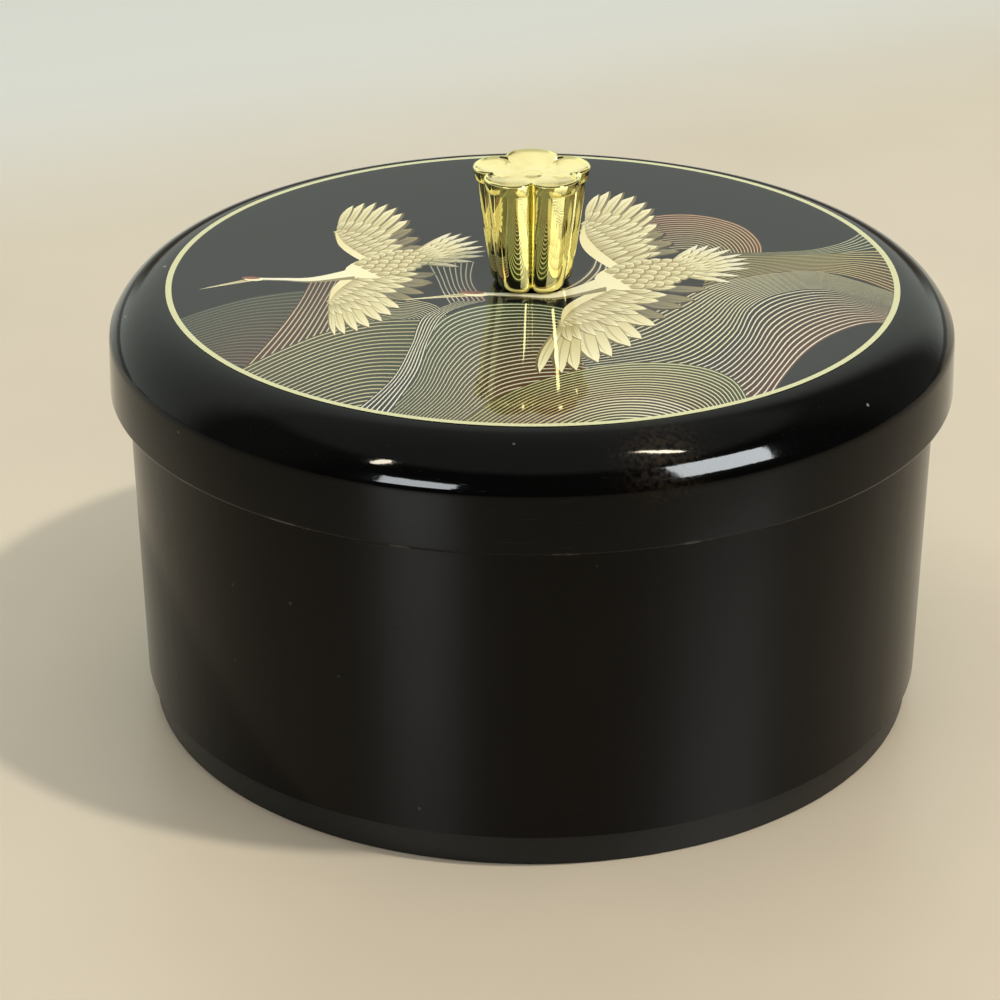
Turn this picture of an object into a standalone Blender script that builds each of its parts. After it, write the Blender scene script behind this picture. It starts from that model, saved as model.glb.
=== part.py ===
"""A round lidded powder box: a hollow body, a lift-off lid and a five-lobed knob.

Metres, +Z up. The origin is the middle of the underside, where the box stands.
"""

import math

import bpy
import bmesh

# How finely round pieces are divided
TURNED_STEPS = 80
SHOULDER_STEPS = 8
CORNER_STEPS = 3
LOBE_STEPS = 14

# Gap between two pieces that rest on each other
RESTING_GAP = 0.0003

# Body: the wall leans outward by its draft from the foot to the rim
BODY_RIM_RADIUS = 0.0655
BODY_HEIGHT = 0.0628
BODY_WALL = 0.0024
BODY_FLOOR = 0.0025
WALL_DRAFT_DEG = 0.8
RIM_CORNER = 0.0005
INNER_FLOOR_CORNER = 0.0020

# Foot: a low band set back under the wall, tapering down to a ring that stands on the table
FOOT_HEIGHT = 0.0055
FOOT_SETBACK = 0.00075
FOOT_TAPER = 0.00045
FOOT_RING_WIDTH = 0.0040
UNDERSIDE_RECESS = 0.0012

# Lid: the skirt hangs over the body's rim, and a narrow ledge inside rests on that rim.
# The top falls a little from the shoulder to the flat seat under the knob.
LID_CLEARANCE = 0.0006
LID_WALL = 0.0019
LID_TOP_THICKNESS = 0.0024
LID_DISH = 0.0012
SKIRT_OVERLAP = 0.0080
SKIRT_FLARE = 0.0003
SKIRT_CORNER = 0.0006
LEDGE_WIDTH = 0.0012
CREASE_ABOVE_LEDGE = 0.0011
SHOULDER_RADIUS = 0.0110
SHOULDER_RISE = 0.0069
KNOB_SEAT_MARGIN = 0.0010

# Knob: lobes that taper down to the lid, a collar under the flower-shaped top
KNOB_LOBES = 5
KNOB_HEIGHT = 0.0191
KNOB_TOP_TIP_RADIUS = 0.00957
KNOB_TOP_CLEFT_RADIUS = 0.0070
KNOB_BASE_TIP_RADIUS = 0.0064
KNOB_BASE_CLEFT_RADIUS = 0.0048
KNOB_SIDE_BULGE = 0.00025
KNOB_FOOT_ROUND = 0.0013
KNOB_WALL_STEPS = 6
COLLAR_HEIGHT = 0.0022
COLLAR_STEP = 0.00045
PETAL_RIM_ROUND = 0.0003
PETAL_RIM_WIDTH = 0.0007
PETAL_RIM_DROP = 0.0002
DISH_DEPTH = 0.0010
DISH_RINGS = 4
BUTTON_RADIUS = 0.0017
BUTTON_HEIGHT = 0.0004
LOBE_FULLNESS = 0.7

SMOOTH_BELOW = math.radians(35)


def clear_scene():
    """Start from an empty scene."""
    for thing in list(bpy.data.objects):
        bpy.data.objects.remove(thing, do_unlink=True)


def make_material(name, colour, roughness, metallic):
    """One Principled material with the colour and polish of the real surface."""
    material = bpy.data.materials.new(name)
    material.use_nodes = True
    shader = material.node_tree.nodes["Principled BSDF"]
    shader.inputs["Base Color"].default_value = (*colour, 1.0)
    shader.inputs["Roughness"].default_value = roughness
    shader.inputs["Metallic"].default_value = metallic
    return material


def arc(centre, radius, start, end, steps):
    """Points on an arc in the (radius, height) plane, both ends included."""
    points = []
    for index in range(steps + 1):
        angle = start + (end - start) * index / steps
        points.append((centre[0] + radius * math.cos(angle), centre[1] + radius * math.sin(angle)))
    return points


def rounded_corner(before, corner, after, radius):
    """A fillet of the given radius between the two straight runs that meet at corner."""
    into = _unit(before[0] - corner[0], before[1] - corner[1])
    out = _unit(after[0] - corner[0], after[1] - corner[1])
    half_angle = math.acos(into[0] * out[0] + into[1] * out[1]) / 2
    reach = radius / math.tan(half_angle)
    bisector = _unit(into[0] + out[0], into[1] + out[1])
    to_centre = radius / math.sin(half_angle)
    centre = (corner[0] + bisector[0] * to_centre, corner[1] + bisector[1] * to_centre)
    first = (corner[0] + into[0] * reach, corner[1] + into[1] * reach)
    last = (corner[0] + out[0] * reach, corner[1] + out[1] * reach)
    start = math.atan2(first[1] - centre[1], first[0] - centre[0])
    end = math.atan2(last[1] - centre[1], last[0] - centre[0])
    turn = (end - start + math.pi) % (2 * math.pi) - math.pi
    return arc(centre, radius, start, start + turn, CORNER_STEPS)


def _unit(x, z):
    length = math.hypot(x, z)
    return x / length, z / length


def turned(name, profile, material):
    """Turn a (radius, height) profile round the Z axis; it starts and ends on that axis."""
    mesh = bpy.data.meshes.new(name)
    points = [(radius, 0.0, height) for radius, height in profile]
    edges = [(index, index + 1) for index in range(len(points) - 1)]
    mesh.from_pydata(points, edges, [])
    piece = bpy.data.objects.new(name, mesh)
    bpy.context.collection.objects.link(piece)
    mesh.materials.append(material)
    screw = piece.modifiers.new("turned", "SCREW")
    screw.axis = "Z"
    screw.steps = TURNED_STEPS
    screw.render_steps = TURNED_STEPS
    screw.use_merge_vertices = True
    screw.merge_threshold = 0.00001
    screw.use_smooth_shade = True
    return piece


def body_outer_radius(height):
    """Outer radius of the drafted wall at a height over the table."""
    return BODY_RIM_RADIUS - (BODY_HEIGHT - height) * math.tan(math.radians(WALL_DRAFT_DEG))


def body_profile():
    """Inside of the floor and wall, over the rim, down the outside, foot band and underside."""
    floor_top = UNDERSIDE_RECESS + BODY_FLOOR
    inner_low = (body_outer_radius(floor_top) - BODY_WALL, floor_top)
    inner_rim = (BODY_RIM_RADIUS - BODY_WALL, BODY_HEIGHT)
    outer_rim = (BODY_RIM_RADIUS, BODY_HEIGHT)
    wall_foot = (body_outer_radius(FOOT_HEIGHT), FOOT_HEIGHT)
    band_top = (wall_foot[0] - FOOT_SETBACK, FOOT_HEIGHT)
    band_low = (band_top[0] - FOOT_TAPER, 0.0)
    ring_inner = band_low[0] - FOOT_RING_WIDTH
    profile = [(0.0, floor_top)]
    profile += rounded_corner(profile[0], inner_low, inner_rim, INNER_FLOOR_CORNER)
    profile += rounded_corner(inner_low, inner_rim, outer_rim, RIM_CORNER)
    profile += rounded_corner(inner_rim, outer_rim, wall_foot, RIM_CORNER)
    profile += [wall_foot, band_top, band_low]
    profile += [(ring_inner, 0.0), (ring_inner, UNDERSIDE_RECESS), (0.0, UNDERSIDE_RECESS)]
    return profile


def lid_levels():
    """Heights of the lid's ledge, crease, shoulder top and knob seat over the table."""
    ledge = BODY_HEIGHT + RESTING_GAP
    crease = ledge + CREASE_ABOVE_LEDGE
    top = crease + SHOULDER_RISE
    return ledge, crease, top, top - LID_DISH


def lid_profile():
    """Top, rounded shoulder and skirt outside, then the skirt, ledge and underside inside."""
    ledge, crease, top, knob_seat = lid_levels()
    inner_radius = BODY_RIM_RADIUS + LID_CLEARANCE
    outer_radius = inner_radius + LID_WALL
    skirt_low = BODY_HEIGHT - SKIRT_OVERLAP
    centre_height = top - SHOULDER_RADIUS
    run = math.sqrt(SHOULDER_RADIUS ** 2 - (crease - centre_height) ** 2)
    centre = (outer_radius - run, centre_height)
    crease_angle = math.asin((crease - centre_height) / SHOULDER_RADIUS)
    crease_point = (outer_radius, crease)
    outer_low = (outer_radius + SKIRT_FLARE, skirt_low)
    inner_low = (inner_radius, skirt_low)
    ledge_outer = (inner_radius, ledge)
    ledge_inner = (BODY_RIM_RADIUS - LEDGE_WIDTH, ledge)
    cove_radius = SHOULDER_RADIUS - LID_TOP_THICKNESS
    cove_angle = math.acos((ledge_inner[0] - centre[0]) / cove_radius)
    seat_radius = KNOB_BASE_TIP_RADIUS + KNOB_SEAT_MARGIN
    seat_under = knob_seat - LID_TOP_THICKNESS
    profile = [(0.0, knob_seat), (seat_radius, knob_seat)]
    profile += arc(centre, SHOULDER_RADIUS, math.pi / 2, crease_angle, SHOULDER_STEPS)
    profile += rounded_corner(crease_point, outer_low, inner_low, SKIRT_CORNER)
    profile += rounded_corner(outer_low, inner_low, ledge_outer, SKIRT_CORNER)
    profile += [ledge_outer, ledge_inner]
    profile += arc(centre, cove_radius, cove_angle, math.pi / 2, CORNER_STEPS)
    profile += [(seat_radius, seat_under), (0.0, seat_under)]
    return profile


def lobed_outline(tip_radius, cleft_radius):
    """Points round the knob: round lobe tips, sharp clefts, the first lobe towards +Y."""
    points = []
    half_lobe = math.pi / KNOB_LOBES
    for lobe in range(KNOB_LOBES):
        axis = math.pi / 2 + 2 * half_lobe * lobe
        for step in range(LOBE_STEPS):
            share = math.sin(math.pi * (step / LOBE_STEPS - 0.5))
            swell = (1 - share ** 2) ** LOBE_FULLNESS
            radius = cleft_radius + (tip_radius - cleft_radius) * swell
            angle = axis + half_lobe * share
            points.append((radius * math.cos(angle), radius * math.sin(angle)))
    return points


def knob_wall_radii(share, inset):
    """Tip and cleft radius of the tapering wall at a share of its height."""
    bulge = KNOB_SIDE_BULGE * 4 * share * (1 - share)
    tip = KNOB_BASE_TIP_RADIUS + (KNOB_TOP_TIP_RADIUS - KNOB_BASE_TIP_RADIUS) * share
    cleft = KNOB_BASE_CLEFT_RADIUS + (KNOB_TOP_CLEFT_RADIUS - KNOB_BASE_CLEFT_RADIUS) * share
    return tip + bulge - inset, cleft + bulge - inset


def knob_sections(bottom):
    """Outline and height of each ring of the knob, from its underside to its middle on top."""
    top = bottom + KNOB_HEIGHT
    sections = []
    for index in range(CORNER_STEPS + 1):
        angle = math.pi / 2 * index / CORNER_STEPS
        inset = KNOB_FOOT_ROUND * (1 - math.sin(angle))
        height = KNOB_FOOT_ROUND * (1 - math.cos(angle))
        tip, cleft = knob_wall_radii(height / KNOB_HEIGHT, inset)
        sections.append((lobed_outline(tip, cleft), bottom + height))
    collar_share = 1 - COLLAR_HEIGHT / KNOB_HEIGHT
    foot_share = KNOB_FOOT_ROUND / KNOB_HEIGHT
    for index in range(1, KNOB_WALL_STEPS + 1):
        share = foot_share + (collar_share - foot_share) * index / KNOB_WALL_STEPS
        tip, cleft = knob_wall_radii(share, COLLAR_STEP * share)
        sections.append((lobed_outline(tip, cleft), bottom + KNOB_HEIGHT * share))
    ledge_share = collar_share + COLLAR_STEP / KNOB_HEIGHT
    tip, cleft = knob_wall_radii(ledge_share, 0.0)
    sections.append((lobed_outline(tip, cleft), bottom + KNOB_HEIGHT * ledge_share))
    rim = lobed_outline(KNOB_TOP_TIP_RADIUS, KNOB_TOP_CLEFT_RADIUS)
    sections.append((rim, top - PETAL_RIM_ROUND))
    inset_rim = KNOB_TOP_TIP_RADIUS - PETAL_RIM_ROUND
    sections.append((scaled(rim, inset_rim / KNOB_TOP_TIP_RADIUS), top))
    petal_edge = (KNOB_TOP_TIP_RADIUS - PETAL_RIM_WIDTH) / KNOB_TOP_TIP_RADIUS
    button_edge = BUTTON_RADIUS / KNOB_TOP_TIP_RADIUS
    for index in range(DISH_RINGS + 1):
        size = petal_edge + (button_edge - petal_edge) * index / DISH_RINGS
        depth = PETAL_RIM_DROP + DISH_DEPTH * (1 - (size / petal_edge) ** 2)
        sections.append((scaled(rim, size), top - depth))
    button_top = top - PETAL_RIM_DROP - DISH_DEPTH + BUTTON_HEIGHT
    sections.append((scaled(rim, button_edge / 2), button_top))
    return sections


def scaled(outline, size):
    """The outline drawn in towards the axis."""
    return [(x * size, y * size) for x, y in outline]


def make_knob(name, bottom, material):
    """Bridge the knob's rings one after another, and close its underside and its middle."""
    shape = bmesh.new()
    rings = []
    for outline, height in knob_sections(bottom):
        corners = [shape.verts.new((x, y, height)) for x, y in outline]
        count = len(corners)
        ring = [shape.edges.new((corners[i], corners[(i + 1) % count])) for i in range(count)]
        rings.append(ring)
    for lower, upper in zip(rings, rings[1:]):
        bmesh.ops.bridge_loops(shape, edges=lower + upper)
    bmesh.ops.triangle_fill(shape, edges=rings[0], use_beauty=True)
    bmesh.ops.triangle_fill(shape, edges=rings[-1], use_beauty=True)
    bmesh.ops.recalc_face_normals(shape, faces=shape.faces)
    mesh = bpy.data.meshes.new(name)
    shape.to_mesh(mesh)
    shape.free()
    mesh.shade_smooth()
    mesh.set_sharp_from_angle(angle=SMOOTH_BELOW)
    mesh.materials.append(material)
    piece = bpy.data.objects.new(name, mesh)
    bpy.context.collection.objects.link(piece)
    return piece


def build():
    """Make the three pieces in place: the lid on the body's rim, the knob on the lid."""
    clear_scene()
    body_plastic = make_material("body_plastic", (0.012, 0.010, 0.010), 0.28, 0.0)
    lid_plastic = make_material("lid_plastic", (0.010, 0.010, 0.011), 0.10, 0.0)
    knob_plate = make_material("knob_plate", (0.95, 0.76, 0.33), 0.08, 1.0)
    turned("body", body_profile(), body_plastic)
    turned("lid", lid_profile(), lid_plastic)
    make_knob("knob", lid_levels()[3] + RESTING_GAP, knob_plate)


build()
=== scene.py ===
"""Looks of a round lidded powder box: black moulded plastic, a printed lid and a gold knob.

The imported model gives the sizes. Every piece here is made at its place in metres, with +Z up.
"""

import logging
import math
from collections.abc import Callable, Sequence
from dataclasses import dataclass
from enum import Enum
from functools import cached_property

import bmesh
import bpy
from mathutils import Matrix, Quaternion, Vector
from mathutils.geometry import delaunay_2d_cdt


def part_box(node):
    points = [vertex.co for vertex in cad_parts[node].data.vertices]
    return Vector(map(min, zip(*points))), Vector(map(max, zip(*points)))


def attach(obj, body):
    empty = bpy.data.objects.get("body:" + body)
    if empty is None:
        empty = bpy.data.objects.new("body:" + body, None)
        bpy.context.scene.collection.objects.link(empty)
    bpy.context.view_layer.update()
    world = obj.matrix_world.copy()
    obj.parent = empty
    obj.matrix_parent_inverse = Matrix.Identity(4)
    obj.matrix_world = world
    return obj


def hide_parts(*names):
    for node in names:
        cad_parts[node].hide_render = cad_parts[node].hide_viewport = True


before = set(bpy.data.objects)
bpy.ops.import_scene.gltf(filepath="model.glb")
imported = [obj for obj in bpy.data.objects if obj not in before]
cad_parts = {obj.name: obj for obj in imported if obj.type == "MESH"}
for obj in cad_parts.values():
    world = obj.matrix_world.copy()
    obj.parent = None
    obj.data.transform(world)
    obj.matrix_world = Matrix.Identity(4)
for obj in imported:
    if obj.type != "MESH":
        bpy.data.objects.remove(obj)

LOG = logging.getLogger("powder_box")
MM = 0.001
Point = tuple[float, float]
Colour = tuple[float, float, float]
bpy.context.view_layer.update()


# Small helpers for curves and colours


def mix(first: Sequence[float], second: Sequence[float], share: float) -> tuple[float, ...]:
    """Blend two points or colours.

    Args:
        first: The value at share 0.
        second: The value at share 1.
        share: How far to go from the first to the second.

    Returns:
        The blended value, one number for each of the given ones.
    """
    return tuple(a + (b - a) * share for a, b in zip(first, second))


def smooth_curve(points: Sequence[Point], count: int) -> list[Point]:
    """Run a Catmull-Rom curve through a few points.

    Args:
        points: The points that the curve passes, in order.
        count: How many points to return.

    Returns:
        Points at even steps of the curve's parameter, both ends included.
    """
    padded = [points[0], *points, points[-1]]
    spans = len(points) - 1
    curve = []
    for index in range(count):
        place = spans * index / (count - 1)
        span = min(int(place), spans - 1)
        t = place - span
        before, start, end, after = padded[span:span + 4]
        curve.append(tuple(
            0.5 * (2 * b + (c - a) * t + (2 * a - 5 * b + 4 * c - d) * t * t
                   + (3 * b - a - 3 * c + d) * t ** 3)
            for a, b, c, d in zip(before, start, end, after)))
    return curve


def arc(centre: Point, radius: float, start_deg: float, end_deg: float, steps: int) -> list[Point]:
    """Points on an arc, both ends included.

    Args:
        centre: The arc's centre.
        radius: The arc's radius.
        start_deg: Angle of the first point, counted from the first axis.
        end_deg: Angle of the last point.
        steps: How many steps the arc is divided into.

    Returns:
        The points in order.
    """
    points = []
    for index in range(steps + 1):
        angle = math.radians(start_deg + (end_deg - start_deg) * index / steps)
        points.append((centre[0] + radius * math.cos(angle), centre[1] + radius * math.sin(angle)))
    return points


def rounded(before: Point, corner: Point, after: Point, radius: float, steps: int = 8) -> list[Point]:
    """Round the corner between two straight runs of a profile.

    Args:
        before: A point on the run into the corner.
        corner: The sharp corner.
        after: A point on the run out of it.
        radius: The fillet's radius.
        steps: How many steps the fillet is divided into.

    Returns:
        The fillet's points in order.
    """
    here = Vector(corner)
    into = (Vector(before) - here).normalized()
    out = (Vector(after) - here).normalized()
    half = into.angle(out) / 2
    centre = here + (into + out).normalized() * radius / math.sin(half)
    first = here + into * radius / math.tan(half) - centre
    last = here + out * radius / math.tan(half) - centre
    start = math.degrees(math.atan2(first.y, first.x))
    turn = (math.degrees(math.atan2(last.y, last.x)) - start + 180) % 360 - 180
    return arc(tuple(centre), radius, start, start + turn, steps)


# Modelling by hand: a circle, extruded and resized ring by ring


class RingModel:
    """A piece raised ring by ring from a filled circle, with edit mode's extrude and resize."""

    def __init__(self, name: str, sides: int, radius: float, height: float) -> None:
        """Add the first ring.

        Args:
            name: The piece's name.
            sides: Corners round the circle.
            radius: The first ring's radius.
            height: The first ring's height.
        """
        bpy.ops.object.select_all(action="DESELECT")
        bpy.ops.mesh.primitive_circle_add(
            vertices=sides, radius=radius, fill_type="NGON", location=(0, 0, height))
        self.piece = bpy.context.object
        self.piece.name = self.piece.data.name = name
        bpy.ops.object.transform_apply(location=True, rotation=True, scale=True)
        self.radius = radius
        self.height = height
        bpy.ops.object.mode_set(mode="EDIT")
        bpy.ops.mesh.select_all(action="SELECT")

    def ring(self, radius: float, height: float) -> None:
        """Extrude the last ring to a new radius and height."""
        rise = height - self.height
        bpy.ops.mesh.extrude_region_move(TRANSFORM_OT_translate={"value": (0, 0, rise)})
        share = radius / self.radius
        bpy.ops.transform.resize(value=(share, share, 1), center_override=(0, 0, height))
        self.radius = radius
        self.height = height

    def follow(self, profile: Sequence[Point]) -> None:
        """Extrude through every (radius, height) of a profile, leaving out repeats."""
        for radius, height in profile:
            if math.hypot(radius - self.radius, height - self.height) > 1e-7:
                self.ring(radius, height)

    def finished(self, smooth_deg: float) -> bpy.types.Object:
        """Leave edit mode with the faces outward.

        Args:
            smooth_deg: Edges that turn less than this are shaded smooth.

        Returns:
            The finished piece.
        """
        bpy.ops.mesh.select_all(action="SELECT")
        bpy.ops.mesh.normals_make_consistent(inside=False)
        bpy.ops.object.mode_set(mode="OBJECT")
        bpy.ops.object.shade_smooth_by_angle(angle=math.radians(smooth_deg))
        return self.piece


def wear(piece: bpy.types.Object, *materials: bpy.types.Material) -> None:
    """Give a piece its materials, in the order of its slots."""
    for material in materials:
        piece.data.materials.append(material)


# Node helpers and the groups that several finishes share


class Graph:
    """A node tree with short ways to add and join nodes."""

    def __init__(self, tree: bpy.types.NodeTree) -> None:
        """Keep the tree that the nodes go into."""
        self.tree = tree

    def node(self, kind: str, values: dict | None = None, **settings: object) -> bpy.types.Node:
        """Add one node.

        Args:
            kind: The node's type name.
            values: What goes on its inputs: a number, a colour or another node's output.
            settings: The node's own properties.

        Returns:
            The new node.
        """
        made = self.tree.nodes.new(kind)
        for name, value in settings.items():
            setattr(made, name, value)
        for name, value in (values or {}).items():
            self.put(made.inputs[name], value)
        return made

    def put(self, socket: bpy.types.NodeSocket, value: object) -> None:
        """Set a socket, or join it to another node's output."""
        if isinstance(value, bpy.types.NodeSocket):
            self.tree.links.new(value, socket)
        elif isinstance(value, tuple) and len(value) == 3 and socket.type == "RGBA":
            socket.default_value = (*value, 1.0)
        else:
            socket.default_value = value

    def maths(self, operation: str, *values: object) -> bpy.types.NodeSocket:
        """A Math node's result for the given operation and inputs."""
        return self.node("ShaderNodeMath", dict(enumerate(values)), operation=operation).outputs[0]

    def step(self, value: object, low: float, high: float) -> bpy.types.NodeSocket:
        """A smooth rise from 0 at low to 1 at high."""
        made = self.node("ShaderNodeMapRange", interpolation_type="SMOOTHSTEP")
        for name, given in {"Value": value, "From Min": low, "From Max": high}.items():
            self.put(made.inputs[name], given)
        return made.outputs["Result"]

    def span(self, value: object, low: float, high: float) -> bpy.types.NodeSocket:
        """A value from 0 to 1 stretched to run from low to high."""
        made = self.node("ShaderNodeMapRange", {"Value": value, "To Min": low, "To Max": high})
        return made.outputs["Result"]

    def blend(self, share: object, first: object, second: object,
              way: str = "MIX") -> bpy.types.NodeSocket:
        """Mix two colours.

        Args:
            share: How much of the second colour.
            first: The colour at share 0.
            second: The colour at share 1.
            way: The mix node's blend type.

        Returns:
            The mixed colour.
        """
        made = self.node("ShaderNodeMix", data_type="RGBA", blend_type=way)
        for index, value in ((0, share), (6, first), (7, second)):
            self.put(made.inputs[index], value)
        return made.outputs[2]

    def noise(self, place: object, scale: float, detail: float = 2.0) -> bpy.types.NodeSocket:
        """A noise texture's value at a place."""
        values = {"Vector": place, "Scale": scale, "Detail": detail}
        return self.node("ShaderNodeTexNoise", values).outputs["Fac"]


class SharedEffects:
    """Node groups that more than one finish uses, each built once."""

    def __init__(self) -> None:
        """Build the groups."""
        self.skin = self._moulded_skin()
        self.handling_and_glow = self._handling_and_glow()
        # wear: a broken lighter line along an edge, edge wear and painted highlight in one.
        self.wear = self._edge_wear_highlight()

    @staticmethod
    def _group(name: str, inputs: dict[str, float | Colour], outputs: Sequence[str]) -> tuple:
        """Start a group with named sockets.

        Args:
            name: The group's name.
            inputs: Its inputs and their usual values, numbers or places.
            outputs: Its outputs, all numbers.

        Returns:
            The group's graph, its inputs and its results by name, and the place on the piece.
        """
        tree = bpy.data.node_groups.new(name, "ShaderNodeTree")
        for label, value in inputs.items():
            kind = "NodeSocketVector" if isinstance(value, tuple) else "NodeSocketFloat"
            socket = tree.interface.new_socket(label, in_out="INPUT", socket_type=kind)
            socket.default_value = value
        for label in outputs:
            tree.interface.new_socket(label, in_out="OUTPUT", socket_type="NodeSocketFloat")
        graph = Graph(tree)
        given = graph.node("NodeGroupInput").outputs
        result = graph.node("NodeGroupOutput").inputs
        return graph, given, result, graph.node("ShaderNodeTexCoord").outputs["Object"]

    @staticmethod
    def _stretched(graph: Graph, place: object, turn: Colour, scale: Colour) -> bpy.types.NodeSocket:
        """A noise drawn out along one direction."""
        values = {"Vector": place, "Rotation": turn, "Scale": scale}
        return graph.noise(graph.node("ShaderNodeMapping", values).outputs["Vector"], 1.0, 0.0)

    @classmethod
    def _moulded_skin(cls) -> bpy.types.NodeTree:
        """Moulded plastic's orange peel, its draw marks up the wall, and its patchiness."""
        graph, given, result, place = cls._group(
            "moulded skin", {"Scale": 900.0}, ("Height", "Patches"))
        peel = graph.noise(place, given["Scale"], 1.0)
        draw = cls._stretched(graph, place, (0.0, 0.0, 0.0), (620.0, 620.0, 7.0))
        graph.put(result["Height"], graph.maths("ADD", peel, graph.maths("MULTIPLY", draw, 0.8)))
        broad = graph.step(graph.noise(place, 45.0, 3.0), 0.3, 0.7)
        graph.put(result["Patches"], graph.maths("MULTIPLY", graph.maths("ADD", broad, draw), 0.5))
        return graph.tree

    @classmethod
    def _handling_and_glow(cls) -> bpy.types.NodeTree:
        """Dust specks, hair scratches, smudges, and a painted warm glow round a lamp's reflection on a smudged
        place, as masks.
        """
        graph, given, result, place = cls._group(
            "handling marks and lamp glow", {"Specks": 0.5, "Scratches": 0.5, "Touch": (0.0, 0.0, -1.0),
                               "Reach": 0.01}, ("Dust", "Scratch", "Smudge", "Lamp glow"))
        cells = graph.node("ShaderNodeTexVoronoi", {"Vector": place, "Scale": 420.0})
        near = graph.step(cells.outputs["Distance"], 0.17, 0.07)
        pick = graph.node("ShaderNodeSeparateColor", {"Color": cells.outputs["Color"]})
        rare = graph.step(pick.outputs[0], 0.966, 0.976)
        dust = graph.maths("MULTIPLY", graph.maths("MULTIPLY", near, rare), given["Specks"])
        graph.put(result["Dust"], dust)
        hairs = [graph.step(cls._stretched(graph, place, turn, (70.0, 5200.0, 5200.0)), 0.80, 0.84)
                 for turn in ((0.4, 0.9, 0.3), (1.2, 0.3, 1.9))]
        hair = graph.maths("MAXIMUM", *hairs)
        graph.put(result["Scratch"], graph.maths("MULTIPLY", hair, given["Scratches"]))
        cloud = graph.step(graph.noise(place, 52.0, 4.0), 0.50, 0.72)
        grit = graph.step(graph.noise(place, 1500.0, 4.0), 0.30, 0.80)
        graph.put(result["Smudge"], graph.maths("MULTIPLY", cloud, grit))
        # The painted glow: strongest at the lamp's reflection, fading out over the reach, broken up by grit.
        far = graph.node("ShaderNodeVectorMath", {0: place, 1: given["Touch"]},
                         operation="DISTANCE").outputs["Value"]
        spread = graph.step(graph.maths("DIVIDE", far, given["Reach"]), 1.0, 0.0)
        graph.put(result["Lamp glow"], graph.maths("MULTIPLY", graph.maths("POWER", spread, 2.0), grit))
        return graph.tree

    @classmethod
    def _edge_wear_highlight(cls) -> bpy.types.NodeTree:
        """A broken lighter line along a level edge, as a mask: edge wear and a painted highlight in one."""
        graph, given, result, place = cls._group(
            "edge wear and highlight", {"Level": 0.0, "Reach": 0.0005}, ("Worn highlight",))
        height = graph.node("ShaderNodeSeparateXYZ", {"Vector": place}).outputs["Z"]
        off = graph.maths("ABSOLUTE", graph.maths("SUBTRACT", height, given["Level"]))
        near = graph.step(off, given["Reach"], 0.0)
        broken = graph.step(graph.noise(place, 120.0, 3.0), 0.56, 0.66)
        graph.put(result["Worn highlight"], graph.maths("MULTIPLY", near, broken))
        return graph.tree


EFFECTS = SharedEffects()


# Finishes


def new_material(name: str) -> tuple[bpy.types.Material, Graph, bpy.types.Node]:
    """Start a material.

    Args:
        name: The material's name.

    Returns:
        The material, its graph and its Principled shader.
    """
    material = bpy.data.materials.new(name)
    material.use_nodes = True
    graph = Graph(material.node_tree)
    return material, graph, material.node_tree.nodes["Principled BSDF"]


@dataclass(frozen=True)
class MouldedPlastic:
    """Black moulded plastic, from high gloss to a duller satin."""

    name: str
    colour: Colour
    dull: Colour
    roughness: tuple[float, float]
    peel: float
    specks: float
    scratches: float
    smudges: float
    sheen: float
    # Height of a broken lighter line, edge wear and painted highlight in one; -1 keeps it off the piece.
    worn_highlight_level: float = -1.0
    # A painted warm glow round a lamp's reflection on a smudged place: its middle, its reach and its colour.
    touch: Colour = (0.0, 0.0, -1.0)
    lamp_glow_reach: float = 0.01
    lamp_glow_tint: Colour = (0.034, 0.024, 0.015)

    def material(self) -> bpy.types.Material:
        """Build the plastic's material with its skin, dust, scratches, a broken edge line that is edge wear and
        painted highlight in one, and a painted lamp glow.
        """
        material, graph, shader = new_material(self.name)
        shader.inputs["Specular IOR Level"].default_value = self.sheen
        skin = graph.node("ShaderNodeGroup", node_tree=EFFECTS.skin).outputs
        marks = graph.node("ShaderNodeGroup", node_tree=EFFECTS.handling_and_glow)
        marks.inputs["Specks"].default_value = self.specks
        marks.inputs["Scratches"].default_value = self.scratches
        marks.inputs["Touch"].default_value = self.touch
        marks.inputs["Reach"].default_value = self.lamp_glow_reach
        dust, hair, smudge, lamp_glow = (
            marks.outputs[label] for label in ("Dust", "Scratch", "Smudge", "Lamp glow"))
        # The edge line: edge wear and a painted highlight in one.
        worn_highlight = graph.node("ShaderNodeGroup", node_tree=EFFECTS.wear)
        worn_highlight.inputs["Level"].default_value = self.worn_highlight_level
        colour = graph.blend(skin["Patches"], self.colour, self.dull)
        # Tones laid over the plastic: hair scratches, the edge line that is wear and painted highlight, the painted
        # lamp glow, then dust.
        for mask, tone in ((hair, (0.05, 0.048, 0.046)), (worn_highlight.outputs["Worn highlight"], (0.11, 0.10, 0.095)),
                           (lamp_glow, self.lamp_glow_tint), (dust, (0.34, 0.33, 0.30))):
            colour = graph.blend(mask, colour, tone)
        graph.put(shader.inputs["Base Color"], colour)
        rough = graph.span(skin["Patches"], *self.roughness)
        for mask, amount in ((smudge, self.smudges), (hair, 0.3), (dust, 0.5)):
            rough = graph.maths("ADD", rough, graph.maths("MULTIPLY", mask, amount))
        graph.put(shader.inputs["Roughness"], rough)
        bump = graph.node("ShaderNodeBump", {"Strength": self.peel, "Distance": 0.0001,
                                             "Height": skin["Height"]})
        graph.put(shader.inputs["Normal"], bump.outputs["Normal"])
        return material


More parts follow.
